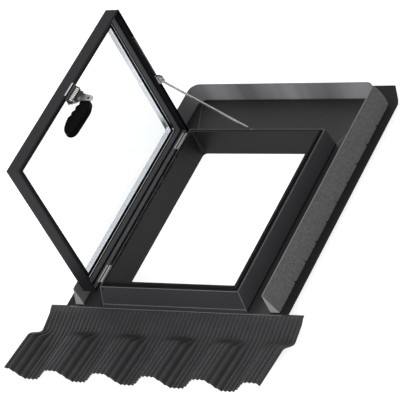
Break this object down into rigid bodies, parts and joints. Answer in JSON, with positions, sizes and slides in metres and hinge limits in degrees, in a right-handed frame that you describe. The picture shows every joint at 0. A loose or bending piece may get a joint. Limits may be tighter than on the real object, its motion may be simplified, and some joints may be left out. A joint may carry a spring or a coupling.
{
  "type": "roof hatch",
  "caption": "Side-hung glazed roof exit hatch on a curb with gutter flashing, foam wedges, outer flange and a pleated apron; the sash stands open on a stay and locks with a lever handle.",
  "frame": {"origin": "centre of the four batten screw holes, on the flange underside in the roof plane", "axes": "+X across the roof away from the hinge side, +Y up the slope, +Z out of the roof"},
  "size_m": [0.844, 1.136, 0.5578],
  "materials": {
    "frame_moulding": "moulded anthracite, satin",
    "sash_metal": "anthracite lacquer, satin",
    "flashing_metal": "anthracite lacquered sheet, satin",
    "apron_metal": "dark grey lacquered pleated sheet, matte",
    "flange_membrane": "black membrane, matte",
    "tile_foam": "grey open-cell foam",
    "seal_rubber": "black seal rubber",
    "bead_metal": "bright rolled bead",
    "spacer_metal": "matt spacer bar",
    "glass_clear": "clear float glass",
    "fitting_steel": "zinc plated steel",
    "grip_plastic": "black moulded grip"
  },
  "bodies": {
    "frame": {"frame_curb": "frame_moulding", "flashing_tray": "flashing_metal", "front_cover": "flashing_metal", "sill_strip": "flashing_metal", "apron_pleated": "apron_metal", "flange_collar": "flange_membrane", "foam_left": "tile_foam", "foam_right": "tile_foam", "foam_back": "tile_foam", "curb_gasket": "seal_rubber", "hinge_lower_frame_leaf": "fitting_steel", "hinge_upper_frame_leaf": "fitting_steel", "hinge_pins": "fitting_steel", "hinge_frame_screws": "fitting_steel", "front_cover_screws": "fitting_steel", "stay_socket": "fitting_steel", "keeper": "fitting_steel"},
    "sash": {"sash_rail_top": "sash_metal", "sash_rail_bottom": "sash_metal", "sash_stile_hinge": "sash_metal", "sash_stile_free": "sash_metal", "bead_top": "bead_metal", "bead_bottom": "bead_metal", "bead_hinge": "bead_metal", "bead_free": "bead_metal", "outer_pane": "glass_clear", "spacer_bar": "spacer_metal", "inner_pane": "glass_clear", "glazing_gasket": "seal_rubber", "hinge_lower_sash_leaf": "fitting_steel", "hinge_upper_sash_leaf": "fitting_steel", "hinge_sash_rivets": "fitting_steel", "stay_plate": "fitting_steel", "stay_pivot_pin": "fitting_steel", "handle_bracket": "fitting_steel", "handle_pivot_pin": "fitting_steel", "catch_strip": "fitting_steel"},
    "stay": {"stay_rod": "fitting_steel"},
    "handle": {"handle_lever": "fitting_steel", "handle_grip": "grip_plastic"}
  },
  "joints": [
    {"name": "sash_hinge", "type": "hinge", "parent": "frame", "child": "sash", "pos_m": [-0.2445, 0, 0.0465], "axis": [0, -1, 0], "range_deg": [-90, 0]},
    {"name": "stay_swing", "type": "hinge", "parent": "sash", "child": "stay", "pos_m": [-0.237, 0.3083, 0.2605], "axis": [0, -1, 0], "range_deg": [0, 133]},
    {"name": "handle_turn", "type": "hinge", "parent": "sash", "child": "handle", "pos_m": [-0.242, 0.008, 0.487], "axis": [0, 0, 1], "range_deg": [0, 70]}
  ],
  "couplings": [
    {"joint": "stay_swing", "follows": "sash_hinge", "ratio": -1.4756}
  ]
}
